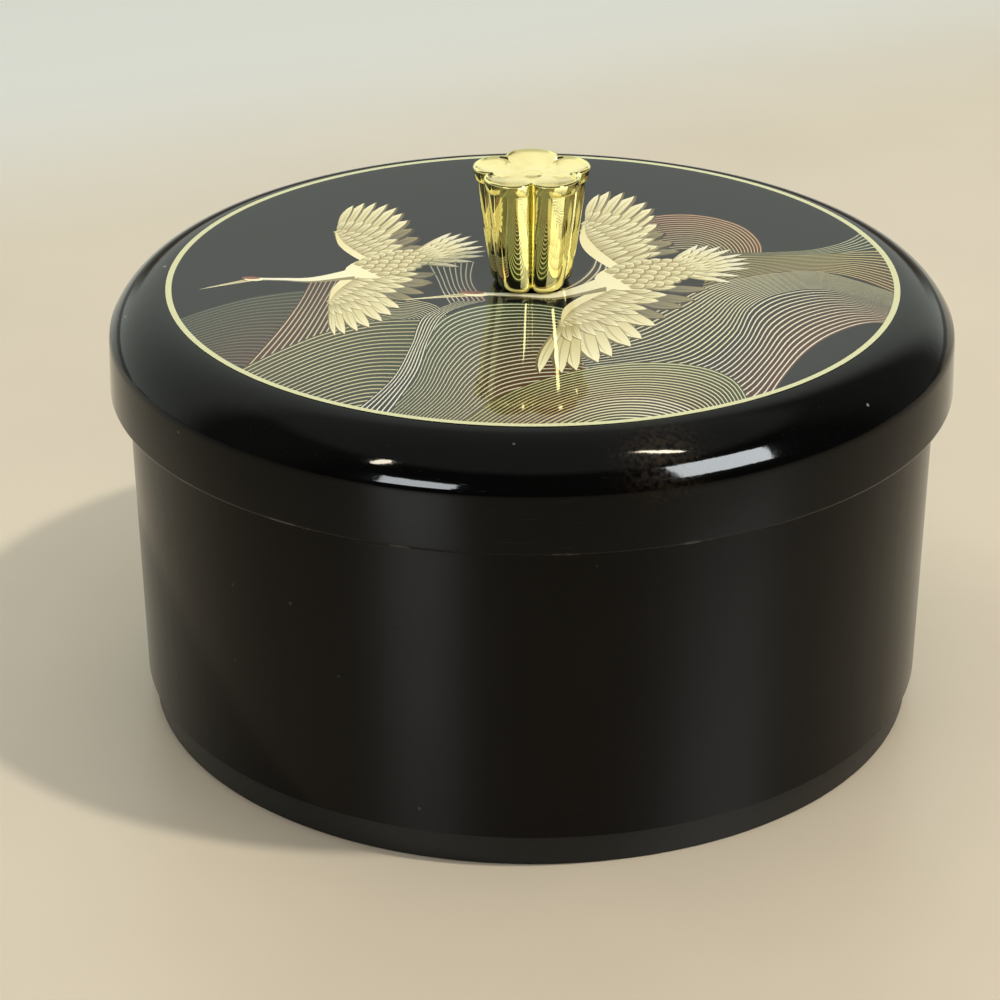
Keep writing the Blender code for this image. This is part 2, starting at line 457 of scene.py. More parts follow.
@dataclass(frozen=True)
class GoldPlate:
    """Gold-coloured plating, mirror bright or satin."""

    name: str
    colour: Colour
    tarnish: Colour
    roughness: tuple[float, float]
    ripple: float

    def material(self) -> bpy.types.Material:
        """Build the plate's material with its faint ripple and tarnish."""
        material, graph, shader = new_material(self.name)
        place = graph.node("ShaderNodeTexCoord").outputs["Object"]
        patches = graph.step(graph.noise(place, 260.0, 3.0), 0.35, 0.75)
        graph.put(shader.inputs["Base Color"], graph.blend(patches, self.colour, self.tarnish))
        graph.put(shader.inputs["Roughness"], graph.span(patches, *self.roughness))
        swell = graph.noise(place, 420.0, 1.0)
        bump = graph.node("ShaderNodeBump", {"Strength": self.ripple, "Distance": 0.0002,
                                             "Height": swell})
        graph.put(shader.inputs["Normal"], bump.outputs["Normal"])
        shader.inputs["Metallic"].default_value = 1.0
        return material


class Ink(Enum):
    """The print's inks; each value is the ink's slot on the printed sheet."""

    GROUND = 0
    THREADS = 1
    PLUMAGE = 2
    RING = 3


@dataclass(frozen=True)
class PrintInk:
    """One ink of the lid's print, under the lid's clear gloss."""

    ink: Ink
    roughness: float
    metallic: float
    grain: float

    def material(self) -> bpy.types.Material:
        """Build the ink's material from the sheet's own colour attributes."""
        material, graph, shader = new_material("ink_" + self.ink.name.lower())
        tint = graph.node("ShaderNodeAttribute", attribute_name="tint").outputs["Color"]
        colour = tint
        if self.ink is Ink.THREADS:
            colour = self._threads(graph, tint)
        place = graph.node("ShaderNodeTexCoord").outputs["Object"]
        speckle = graph.span(graph.noise(place, 2600.0, 2.0), 1.0 - self.grain, 1.0 + self.grain)
        shade = graph.node("ShaderNodeVectorMath", {0: colour, 1: speckle}, operation="MULTIPLY")
        graph.put(shader.inputs["Base Color"], shade.outputs["Vector"])
        shader.inputs["Roughness"].default_value = self.roughness
        shader.inputs["Metallic"].default_value = self.metallic
        shader.inputs["Specular IOR Level"].default_value = 0.0
        shader.inputs["Coat Weight"].default_value = 1.0
        shader.inputs["Coat Roughness"].default_value = 0.03
        shader.inputs["Coat IOR"].default_value = 1.25
        return material

    @staticmethod
    def _threads(graph: Graph, gap: bpy.types.NodeSocket) -> bpy.types.NodeSocket:
        """Draw the fine lines of a wave: each whole number of the phase is one line.

        Args:
            graph: The ink's graph.
            gap: The colour between the lines.

        Returns:
            The colour of lines and gaps together.
        """
        place = graph.node("ShaderNodeAttribute", attribute_name="thread_place").outputs["Vector"]
        parts = graph.node("ShaderNodeSeparateXYZ", {"Vector": place})
        line = graph.node("ShaderNodeAttribute", attribute_name="thread_colour").outputs["Color"]
        share = graph.maths("FRACT", parts.outputs["X"])
        off = graph.maths("ABSOLUTE", graph.maths("SUBTRACT", share, 0.5))
        edge = graph.maths("SUBTRACT", off, parts.outputs["Y"])
        core = graph.step(edge, 0.03, -0.03)
        halo = graph.maths("MULTIPLY", graph.step(edge, 0.30, 0.0), 0.06)
        glow = graph.blend(halo, gap, line)
        return graph.blend(core, glow, line)


# The print: shapes painted one over another on a flat sheet


@dataclass(frozen=True)
class Spot:
    """What the inks need at one place: the fill, and where it lies between the wave's lines."""

    tint: Colour
    place: Colour = (0.0, 0.0, 0.0)
    thread: Colour = (0.0, 0.0, 0.0)


@dataclass(frozen=True)
class Shade:
    """A fill that runs from one colour to another between two points."""

    ink: Ink
    start: Point
    end: Point
    first: Colour
    last: Colour

    def at(self, place: Point) -> Spot:
        """The fill's colour at a place."""
        run = Vector(self.end) - Vector(self.start)
        share = (Vector(place) - Vector(self.start)).dot(run) / max(run.length_squared, 1e-9)
        return Spot(mix(self.first, self.last, min(max(share, 0.0), 1.0)))


@dataclass(frozen=True)
class ThreadCell:
    """One small triangle of a wave band, which knows its corners' places among the lines."""

    corners: tuple[Point, Point, Point]
    spots: tuple[Spot, Spot, Spot]
    ink: Ink = Ink.THREADS

    def at(self, place: Point) -> Spot:
        """The lines' place and colours, blended from the corners."""
        (ax, ay), (bx, by), (cx, cy) = self.corners
        area = (bx - ax) * (cy - ay) - (cx - ax) * (by - ay)
        second = ((place[0] - ax) * (cy - ay) - (cx - ax) * (place[1] - ay)) / area
        third = ((bx - ax) * (place[1] - ay) - (place[0] - ax) * (by - ay)) / area
        weights = (1 - second - third, second, third)
        values = []
        for part in ("tint", "place", "thread"):
            parts = [getattr(spot, part) for spot in self.spots]
            values.append(tuple(sum(w * v[i] for w, v in zip(weights, parts)) for i in range(3)))
        return Spot(*values)


class PrintSheet:
    """A flat sheet cut into the shapes that show, each later shape lying over the earlier."""

    def __init__(self, radius: float, middle: Point) -> None:
        """Keep the sheet's size.

        Args:
            radius: Radius of the round sheet in millimetres.
            middle: The sheet's middle in millimetres.
        """
        self.radius = radius
        self.middle = Vector(middle)
        self.points: list[Vector] = []
        self.shapes: list[list[int]] = []
        self.paints: list[Shade | ThreadCell] = []

    def paint(self, outline: Sequence[Point], paint: Shade | ThreadCell) -> None:
        """Lay one closed shape over what is there."""
        first = len(self.points)
        corners = [Vector(point) for point in outline]
        area = sum(a.cross(b) for a, b in zip(corners, corners[1:] + corners[:1]))
        self.points += corners if area > 0 else corners[::-1]
        self.shapes.append(list(range(first, first + len(corners))))
        self.paints.append(paint)

    def cut(self, name: str, surface: Callable[[float], float],
            thickness: float) -> bpy.types.Object:
        """Cut the sheet along every outline and colour each face by the shape on top.

        Args:
            name: The piece's name.
            surface: Gives the height under the sheet at a radius, all in metres.
            thickness: The sheet's thickness, in metres.

        Returns:
            The sheet as a closed mesh, with its colour attributes.
        """
        grid = [Vector(point) for radius in range(6, 57, 5)
                for point in arc((0, 0), radius, 0, 360, 72)[:-1]]
        found = delaunay_2d_cdt(self.points + grid, [], self.shapes, 1, 1e-4, True)
        spots, faces, sources = found[0], found[2], found[5]
        kept = []
        for corners, owners in zip(faces, sources):
            middle = sum((Vector(spots[i]) for i in corners), Vector((0, 0))) / len(corners)
            if owners and (middle - self.middle).length < self.radius:
                kept.append((corners, self.paints[max(owners)]))
        shape = bmesh.new()
        made = [shape.verts.new((x * MM, y * MM, surface(math.hypot(x, y) * MM) + thickness))
                for x, y in spots]
        layers = [shape.loops.layers.float_color.new(label) for label in ("tint", "thread_colour")]
        place_layer = shape.loops.layers.float_vector.new("thread_place")
        for corners, paint in kept:
            face = shape.faces.new([made[i] for i in corners])
            face.material_index = paint.ink.value
            face.smooth = True
            for loop, index in zip(face.loops, corners):
                spot = paint.at(tuple(spots[index]))
                loop[layers[0]] = (*spot.tint, 1.0)
                loop[layers[1]] = (*spot.thread, 1.0)
                loop[place_layer] = spot.place
        bmesh.ops.delete(shape, geom=[v for v in shape.verts if not v.link_faces], context="VERTS")
        self._close(shape, surface, thickness)
        mesh = bpy.data.meshes.new(name)
        shape.to_mesh(mesh)
        shape.free()
        piece = bpy.data.objects.new(name, mesh)
        bpy.context.collection.objects.link(piece)
        return piece

    @staticmethod
    def _close(shape: bmesh.types.BMesh, surface: Callable[[float], float],
               thickness: float) -> None:
        """Give the sheet an edge and an underside, so that it is a closed thin disc."""
        bmesh.ops.recalc_face_normals(shape, faces=shape.faces)
        if sum(face.normal.z * face.calc_area() for face in shape.faces) < 0:
            bmesh.ops.reverse_faces(shape, faces=shape.faces)
        for inward in (1.0, 0.12):
            rim = [edge for edge in shape.edges if edge.is_boundary]
            for edge in rim:
                edge.smooth = False
            made = bmesh.ops.extrude_edge_only(shape, edges=rim)["geom"]
            for corner in (part for part in made if isinstance(part, bmesh.types.BMVert)):
                corner.co.xy = corner.co.xy * inward
                corner.co.z = surface(corner.co.xy.length)
        bmesh.ops.contextual_create(shape, geom=[edge for edge in shape.edges if edge.is_boundary])
        bmesh.ops.recalc_face_normals(shape, faces=shape.faces)


class Tone(Enum):
    """The print's colours."""

    NIGHT = (0.008, 0.008, 0.009)
    PITCH = (0.014, 0.012, 0.010)
    MOSS = (0.022, 0.036, 0.016)
    FERN = (0.032, 0.062, 0.022)
    SEDGE = (0.032, 0.038, 0.024)
    REED = (0.125, 0.130, 0.086)
    RUST = (0.085, 0.024, 0.016)
    BRICK = (0.140, 0.030, 0.018)
    BARK = (0.040, 0.026, 0.015)
    OLIVE = (0.070, 0.062, 0.024)
    SAND = (0.550, 0.470, 0.240)
    CREAM = (0.720, 0.670, 0.420)
    SILVER = (0.600, 0.610, 0.450)
    STRAW = (0.640, 0.580, 0.250)
    ROSE = (0.580, 0.420, 0.290)
    PEARL = (0.860, 0.830, 0.660)
    IVORY = (0.800, 0.690, 0.340)
    SNOW = (0.930, 0.860, 0.540)
    TAN = (0.540, 0.450, 0.210)
    FAWN = (0.300, 0.245, 0.110)
    UMBER = (0.120, 0.092, 0.040)
    SLATE = (0.210, 0.195, 0.130)
    CROWN = (0.290, 0.105, 0.060)
    RING = (0.680, 0.660, 0.370)


@dataclass(frozen=True)
class WaveBand:
    """A family of fine lines that runs between two guide curves.

    The gap colours are those at the first guide's start and end, then the last guide's.
    """

    first: tuple[Point, ...]
    last: tuple[Point, ...]
    lines: int
    gaps: tuple[Tone, Tone, Tone, Tone]
    threads: tuple[Tone, Tone]
    weight: float = 0.14
    steps: int = 30
    rows: int = 6

    def lay_on(self, sheet: PrintSheet) -> None:
        """Paint the band on the sheet as a grid of small cells."""
        begin = smooth_curve(self.first, self.steps + 1)
        finish = smooth_curve(self.last, self.steps + 1)
        for column in range(self.steps):
            for row in range(self.rows):
                quad = [(column, row), (column + 1, row), (column + 1, row + 1), (column, row + 1)]
                for trio in ((0, 1, 2), (0, 2, 3)):
                    cells = [quad[i] for i in trio]
                    corners = tuple(mix(begin[c], finish[c], r / self.rows) for c, r in cells)
                    spots = tuple(self._spot(c / self.steps, r / self.rows) for c, r in cells)
                    sheet.paint(corners, ThreadCell(corners, spots))

    def _spot(self, along: float, across: float) -> Spot:
        """The band's colours and phase at a place along and across it."""
        tones = [tone.value for tone in self.gaps]
        tint = mix(mix(tones[0], tones[1], along), mix(tones[2], tones[3], along), across)
        thread = mix(self.threads[0].value, self.threads[1].value, along)
        weight = self.weight * (0.7 + 0.5 * math.sin(math.pi * along))
        return Spot(tint, (across * self.lines, weight, 0.0), thread)


@dataclass(frozen=True)
class Feather:
    """One feather: a dark edge, a pale vane inside it and a fine shaft."""

    root: Point
    tip: Point
    width: float
    bend: float = 0.0
    shades: tuple[Tone, Tone, Tone] = (Tone.UMBER, Tone.IVORY, Tone.SNOW)
    steps: int = 7

    def _outline(self, share: float, shift: float, reach: float = 1.0) -> list[Point]:
        """The feather's outline, at a share of its width and reach, moved to one side."""
        root, run = Vector(self.root), Vector(self.tip) - Vector(self.root)
        side = Vector((-run.y, run.x)).normalized()
        left, right = [], []
        for index in range(self.steps + 1):
            u = index / self.steps
            half = self.width / 2 * share * min(1.0, 0.45 + 0.9 * u) * (1 - u ** 4) ** 0.75
            along = u * reach
            middle = root + run * along
            middle = middle + side * (self.bend * 4 * along * (1 - along) + shift)
            left.append(tuple(middle + side * half))
            if index < self.steps:
                right.append(tuple(middle - side * half))
        return left + right[::-1]

    def lay_on(self, sheet: PrintSheet) -> None:
        """Paint the edge, then the vane, then the shaft."""
        edge, low, high = (tone.value for tone in self.shades)
        mid = mix(self.root, self.tip, 0.3)
        sheet.paint(self._outline(1.0, 0.0), Shade(Ink.PLUMAGE, self.root, self.tip,
                                                   mix(edge, low, 0.35), edge))
        sheet.paint(self._outline(0.76, self.width * 0.07, 0.975),
                    Shade(Ink.PLUMAGE, mid, self.tip, mix(edge, low, 0.75), high))
        sheet.paint(self._outline(0.09, 0.0, 0.9), Shade(Ink.PLUMAGE, self.root, self.tip,
                                                         mix(edge, low, 0.45), mix(edge, low, 0.7)))


@dataclass(frozen=True)
class Wing:
    """A spread wing, between its leading edge, its line of quill roots and its tips.

    Each line runs from the outermost feather to the body.
    """

    edge: tuple[Point, ...]
    roots: tuple[Point, ...]
    tips: tuple[Point, ...]
    quills: int
    grey: int
    side: float = 1.0

    @cached_property
    def _lines(self) -> list[list[Point]]:
        """The three lines as fine curves."""
        return [smooth_curve(line, 61) for line in (self.edge, self.roots, self.tips)]

    def _place(self, share: float, reach: float) -> Point:
        """A place on the wing.

        Args:
            share: How far along the wing, from the outermost feather to the body.
            reach: 0 on the leading edge, 1 on the line of quill roots, 2 at the tips.

        Returns:
            The place in millimetres.
        """
        inner = min(int(reach), 1)
        step = round(min(max(share, 0.0), 1.0) * 60)
        return mix(self._lines[inner][step], self._lines[inner + 1][step], reach - inner)

    def _row(self, sheet: PrintSheet, count: int, start: float, end: float, fullness: float,
             shades: Callable[[int], tuple[Tone, Tone, Tone]]) -> None:
        """Paint one row of feathers from the body outwards.

        Args:
            sheet: Where the row is painted.
            count: How many feathers.
            start: Reach of the feathers' roots.
            end: Reach of their tips.
            fullness: Their width beside the space that each one has.
            shades: Gives the colours of the feather with a given index.
        """
        for index in reversed(range(count)):
            share = (index + 0.5) / count
            root, tip = self._place(share, start), self._place(share, end)
            aside = [Vector(self._place(share + step / count, end - 0.15)) for step in (-0.5, 0.5)]
            wide = (aside[1] - aside[0]).length * fullness
            Feather(root, tip, wide, self.side * wide * 0.25, shades(index)).lay_on(sheet)

    def lay_on(self, sheet: PrintSheet) -> None:
        """Paint the quills, three rows of coverts and the narrow leading edge."""
        grey = (Tone.BARK, Tone.SLATE, Tone.FAWN)
        pale = (Tone.UMBER, Tone.IVORY, Tone.SNOW)
        soft = (Tone.FAWN, Tone.TAN, Tone.SNOW)
        first_grey = self.quills - self.grey
        self._row(sheet, self.quills, 0.75, 2.0, 1.18, lambda i: grey if i >= first_grey else pale)
        self._row(sheet, self.quills, 0.55, 1.34, 1.25, lambda i: soft)
        self._row(sheet, self.quills + 1, 0.30, 0.98, 1.30, lambda i: soft)
        self._row(sheet, self.quills + 2, 0.05, 0.60, 1.35, lambda i: soft)
        outer = [self._place(step / 12, 0.0) for step in range(13)]
        inner = [self._place(step / 12, 0.20) for step in range(13)]
        sheet.paint(outer + inner[::-1], Shade(Ink.PLUMAGE, outer[0], outer[-1],
                                               Tone.IVORY.value, Tone.SNOW.value))


@dataclass(frozen=True)
class Crane:
    """A flying crane in profile: neck and bill ahead, two wings, a scaled back and a tail."""

    bill: Point
    neck: tuple[Point, ...]
    breast: Point
    rump: Point
    girth: float
    tail: tuple[Point, ...]
    near_wing: Wing
    far_wing: Wing
    tail_feathers: int = 9

    def lay_on(self, sheet: PrintSheet) -> None:
        """Paint the far wing, tail, near wing, back, neck and head, in that order."""
        self.far_wing.lay_on(sheet)
        self._tail(sheet)
        self.near_wing.lay_on(sheet)
        self._back(sheet)
        self._neck(sheet)
        self._head(sheet)

    def _tail(self, sheet: PrintSheet) -> None:
        """Fan the tail's feathers out from the rump in three rows."""
        tips = smooth_curve(self.tail, 61)
        start = mix(self.breast, self.rump, 0.75)
        spread = (Vector(tips[-1]) - Vector(tips[0])).length / self.tail_feathers
        for reach, fullness in ((1.0, 1.25), (0.78, 1.15), (0.56, 1.0)):
            for index in range(self.tail_feathers):
                share = (index + (0.5 if reach == 0.78 else 0.25)) / (self.tail_feathers - 0.4)
                tip = tips[min(round(60 * share), 60)]
                shades = ((Tone.UMBER, Tone.IVORY, Tone.PEARL) if reach == 1.0
                          else (Tone.FAWN, Tone.TAN, Tone.SNOW))
                Feather(start, mix(start, tip, reach), spread * fullness, 0.0, shades).lay_on(sheet)

    def _back(self, sheet: PrintSheet) -> None:
        """Paint the body, then rows of small scale feathers along it."""
        front, run = Vector(self.breast), Vector(self.rump) - Vector(self.breast)
        side = Vector((-run.y, run.x)).normalized()
        outline = []
        for index in range(28):
            angle = 2 * math.pi * index / 28
            along = 0.5 - 0.60 * math.cos(angle)
            half = self.girth / 2 * math.sin(angle) * (1.05 - 0.2 * along)
            outline.append(tuple(front + run * along + side * half))
        sheet.paint(outline, Shade(Ink.PLUMAGE, self.breast, self.rump, Tone.SNOW.value,
                                   Tone.IVORY.value))
        for row in range(9, 1, -1):
            along = row / 9
            half = self.girth / 2 * (1 - (2 * along - 1) ** 2 * 0.55)
            count = 4 + row % 2
            for index in range(count):
                off = half * (2 * (index + 0.5) / count - 1)
                root = front + run * (along - 0.06) + side * off
                tip = root + run * 0.19 + side * off * 0.12
                Feather(tuple(root), tuple(tip), 2.6 * half / count, 0.0,
                        (Tone.FAWN, Tone.TAN, Tone.SNOW), steps=5).lay_on(sheet)

    def _neck(self, sheet: PrintSheet) -> None:
        """Paint the long neck, grey below and white above, widening into the breast."""
        course = smooth_curve([*self.neck, self.breast], 19)
        for lowest, highest, first, last in ((-1.0, 0.2, Tone.SLATE, Tone.FAWN),
                                             (-0.45, 1.0, Tone.PEARL, Tone.SNOW)):
            upper, lower = [], []
            for index, (x, y) in enumerate(course):
                half = self.girth * (0.060 + 0.25 * (index / 18) ** 3.0)
                upper.append((x, y + half * highest))
                lower.append((x, y + half * lowest))
            sheet.paint(upper + lower[::-1], Shade(Ink.PLUMAGE, self.neck[0], self.breast,
                                                   first.value, last.value))

    def _head(self, sheet: PrintSheet) -> None:
        """Paint the bill, the small head and its red crown."""
        head, bill = Vector(self.neck[0]), Vector(self.bill)
        ahead = (bill - head).normalized()
        across = Vector((-ahead.y, ahead.x))
        size = self.girth
        root = head + ahead * size * 0.02
        beak = [root + across * size * 0.075, root - across * size * 0.065, bill]
        sheet.paint([tuple(point) for point in beak],
                    Shade(Ink.PLUMAGE, tuple(root), self.bill, Tone.SAND.value, Tone.SNOW.value))
        line = [root, root - across * size * 0.022, head + ahead * size * 0.75]
        sheet.paint([tuple(point) for point in line],
                    Shade(Ink.PLUMAGE, tuple(root), self.bill, Tone.UMBER.value, Tone.UMBER.value))
        for shift, long, tall, lift, first, last in (
                (0.00, 0.17, 0.095, 0.00, Tone.PEARL, Tone.SNOW),
                (0.06, 0.17, 0.062, 0.048, Tone.CROWN, Tone.CROWN)):
            oval = [(head.x - size * (shift - long * math.cos(math.pi * i / 7)),
                     head.y + size * (lift + tall * math.sin(math.pi * i / 7))) for i in range(14)]
            sheet.paint(oval, Shade(Ink.PLUMAGE, self.bill, tuple(head), first.value, last.value))


@dataclass
class LidPrint:
    """The picture on the lid, cranes over waves, inside its gold ring. Sizes in millimetres."""

    middle: Point = (0.15, -0.3)
    ring_outer: float = 58.75
    ring_width: float = 0.95
    sides: int = 240
    thickness: float = 0.03

    def waves(self) -> list[WaveBand]:
        """The wave bands, from the ones behind to the ones in front."""
        night, pitch, moss, fern = Tone.NIGHT, Tone.PITCH, Tone.MOSS, Tone.FERN
        rust, brick, bark, olive = Tone.RUST, Tone.BRICK, Tone.BARK, Tone.OLIVE
        silver, cream, straw, sand = Tone.SILVER, Tone.CREAM, Tone.STRAW, Tone.SAND
        rose, pearl, sedge, reed = Tone.ROSE, Tone.PEARL, Tone.SEDGE, Tone.REED
        return [
            WaveBand(((12, 22.1), (20, 28.5), (28, 29.1), (35, 24), (38, 15.1), (37, 5.2)),
                     ((18, 9.3), (22, 12.5), (26.5, 13.3), (28.5, 10.7), (29, 6.7), (28, 2.8)),
                     17, (rust, brick, moss, moss), (rose, straw), 0.10),
            WaveBand(((30, 11.6), (40, 11.5), (47, 12.6), (53, 17.1), (57, 25)),
                     ((30, 9.6), (40, 9.5), (48, 9.5), (54, 11.2), (59, 13)),
                     6, (night, moss, night, moss), (straw, silver), 0.09),
            WaveBand(((30, 10.6), (40, 10), (48, 10), (54, 11.2), (60, 12)),
                     ((27, -5.2), (36, 0.8), (46, 2.2), (53, -1.7), (60, -11)),
                     13, (olive, bark, bark, rust), (straw, straw), 0.10),
            WaveBand(((3, -5), (7, 0), (9.5, 5.8), (10.5, 11.6)), ((13, -6.4), (15, -2.4), (16, 1.5), (16, 6.5)),
                     7, (bark, bark, rust, night), (sand, silver), 0.12),
            WaveBand(((-17, 6.4), (-15.5, 0.6), (-14.5, -4.5), (-13, -10.6)),
                     ((-9, 8.8), (-9.5, 2.9), (-9, -2.1), (-7, -8.2)),
                     8, (night, night, night, rust), (silver, silver), 0.09),
            WaveBand(((-26, -6.2), (-20, -7.8), (-15, -10.7), (-13, -15.8)),
                     ((-28, -22.8), (-24, -18.4), (-20, -17.2), (-17, -21.2)),
                     13, (pitch, night, moss, night), (sand, cream), 0.11),
            WaveBand(((-58, -24), (-53, -16.9), (-46, -10.4), (-40, -7), (-33, -4.5)),
                     ((-52, -42), (-48, -38.5), (-45, -37.5), (-41, -38.4), (-37, -42.9)),
                     22, (sedge, sedge, bark, rust), (reed, reed), 0.15),
            WaveBand(((-35.5, -0.7), (-37, -11.9), (-39.5, -24.3), (-43.5, -40)),
                     ((-27, -0.1), (-29, -12.5), (-31, -27.1), (-35, -48)),
                     11, (bark, rust, bark, bark), (rose, cream), 0.10),
            WaveBand(((-45, -41), (-38, -30.5), (-31, -22.4), (-24, -17.9), (-14, -16.4)),
                     ((-29, -57), (-26, -54.5), (-24, -53.5), (-22, -53.5), (-19, -55)),
                     24, (olive, moss, night, moss), (cream, sand), 0.10),
            WaveBand(((-24, -57), (-18.5, -42.4), (-16.5, -26.5), (-13, -14.8), (-5, -9.2), (5, -11.3), (12, -22.1)),
                     ((-10, -62), (-7, -57), (-4, -53.3), (-1, -51.1), (3, -49.6), (7, -48.5), (12, -47.5)),
                     28, (moss, fern, olive, brick), (cream, silver), 0.10),
            WaveBand(((-7, -8.2), (-13, -13.7), (-15.5, -24.3), (-17, -39.2), (-21, -57)),
                     ((-12, -9), (-17, -16), (-18.5, -28.7), (-21, -42.4), (-26.5, -56)),
                     6, (moss, night, night, night), (cream, pearl), 0.14),
            WaveBand(((4, -26.2), (14, -19), (22, -10), (29, -2.3), (37, 1.3), (47, 2.2), (60, -10)),
                     ((10, -40.1), (24, -36.2), (31, -25), (34.5, -12.8), (40, -6.5), (48, -5.9), (59, -16)),
                     17, (pitch, olive, pitch, night), (cream, cream), 0.13),
            WaveBand(((10, -40.1), (24, -36.2), (31, -25), (34.5, -12.8), (40, -6.5), (48, -5.9), (59, -16)),
                     ((33, -57), (35, -49), (38, -39.8), (42, -30.7), (47, -23.7), (53, -19.9), (60, -22)),
                     15, (pitch, night, rust, rust), (pearl, cream), 0.10),
            WaveBand(((-11, -60), (-4, -47.4), (4, -39.5), (14, -34.9), (24, -35.7), (30, -41.6), (32, -52)),
                     ((-1, -60), (5, -52.7), (11, -48.6), (17, -48.1), (21, -50.3), (24, -54), (25, -60)),
                     14, (olive, fern, rust, bark), (straw, cream), 0.13),
            WaveBand(((-1, -60), (5, -52.7), (11, -48.6), (17, -48.1), (21, -50.3), (24, -54), (25, -60)),
                     ((6, -62), (9, -58), (12, -56.5), (15, -56.5), (18, -57.5), (19, -59), (20, -62)),
                     8, (rust, bark, olive, pitch), (straw, pearl), 0.15),
        ]

    def cranes(self) -> list[Crane]:
        """The two cranes: the small one ahead on the left, the large one partly under the knob."""
        ahead = Crane(
            bill=(-53, -6.3), neck=((-44.6, -1.2), (-40, -1.1), (-35, -0.9)), breast=(-28.5, 2.3),
            rump=(-18, 11.3), girth=9.0,
            tail=((-13.5, 21.5), (-10, 20.2), (-7.6, 15.5), (-7.6, 10.8), (-12, 5.7)),
            near_wing=Wing(
                ((-32, -9.6), (-31.8, -4.5), (-30, 0.7), (-26, 4.9)),
                ((-31.6, -11.6), (-28.5, -10.4), (-25, -7.1), (-22, -2.4), (-19.5, 3.3)),
                ((-30.8, -25), (-27.5, -23.3), (-23.5, -18.9), (-20.5, -12), (-16.5, -4.6), (-15, 4.6)),
                11, 4, -1.0),
            far_wing=Wing(
                ((-32.8, 20.2), (-32, 14.9), (-29.5, 10.1), (-26, 5.9)),
                ((-32.2, 21.7), (-29, 20.9), (-26, 18.6), (-23.5, 15.4), (-21.5, 11.1)),
                ((-31, 32.8), (-27.5, 34.9), (-23.5, 33.6), (-21, 28.4), (-19, 20.9), (-16.5, 13.3)),
                10, 3))
        behind = Crane(
            bill=(-20.5, -8.7), neck=((-8.8, -5.4), (-3, -5.6), (4, -6)), breast=(12, -0.7),
            rump=(24.5, 6), girth=12.0,
            tail=((27.5, 15.6), (32, 14.4), (35.5, 9.8), (35.8, 4.3), (32, -2.5)),
            near_wing=Wing(
                ((4.6, -17.7), (5.2, -11.3), (8.5, -5.7), (14, -0.4)),
                ((4.8, -19.8), (9, -18.3), (13.5, -14.8), (17.5, -9.3), (21, -1.8)),
                ((0.3, -39), (5.5, -39), (11, -33.8), (16, -27), (20, -18.2), (25, -10.7), (29, -3.3)),
                12, 4, -1.0),
            far_wing=Wing(
                ((8.8, 25), (8.0, 18.4), (9.5, 11.6), (14, 3.6)),
                ((9.4, 26.9), (13, 25.4), (17, 22.4), (19.5, 17.5), (20, 11.2)),
                ((11, 38.7), (14.5, 40.9), (18.5, 38), (21, 32.3), (21.5, 25.6), (23.5, 17.8), (25, 10.9)),
                11, 3),
            tail_feathers=10)
        return [ahead, behind]

    def build(self, surface: Callable[[float], float]) -> bpy.types.Object:
        """Paint the sheet from back to front, cut it and dress it.

        Args:
            surface: Gives the height of the lid's top at a radius, in metres.

        Returns:
            The printed sheet.
        """
        sheet = PrintSheet(self.ring_outer, self.middle)
        edge, inner = (arc(self.middle, self.ring_outer - inset, 0, 360, self.sides)[:-1]
                       for inset in (0.0, self.ring_width))
        night = Tone.NIGHT.value
        sheet.paint(edge, Shade(Ink.GROUND, (0, 0), (1, 0), night, night))
        for band in self.waves():
            band.lay_on(sheet)
        for crane in self.cranes():
            crane.lay_on(sheet)
        gold = Shade(Ink.RING, (0, 0), (1, 0), Tone.RING.value, Tone.RING.value)
        for index in range(self.sides):
            after = (index + 1) % self.sides
            sheet.paint([edge[index], edge[after], inner[after], inner[index]], gold)
        piece = sheet.cut("lid_print", surface, self.thickness * MM)
        inks = (PrintInk(Ink.GROUND, 0.30, 0.0, 0.0), PrintInk(Ink.THREADS, 0.35, 0.0, 0.10),
                PrintInk(Ink.PLUMAGE, 0.35, 0.0, 0.06), PrintInk(Ink.RING, 0.30, 0.35, 0.12))
        wear(piece, *(ink.material() for ink in inks))
        return piece


# The box's own pieces


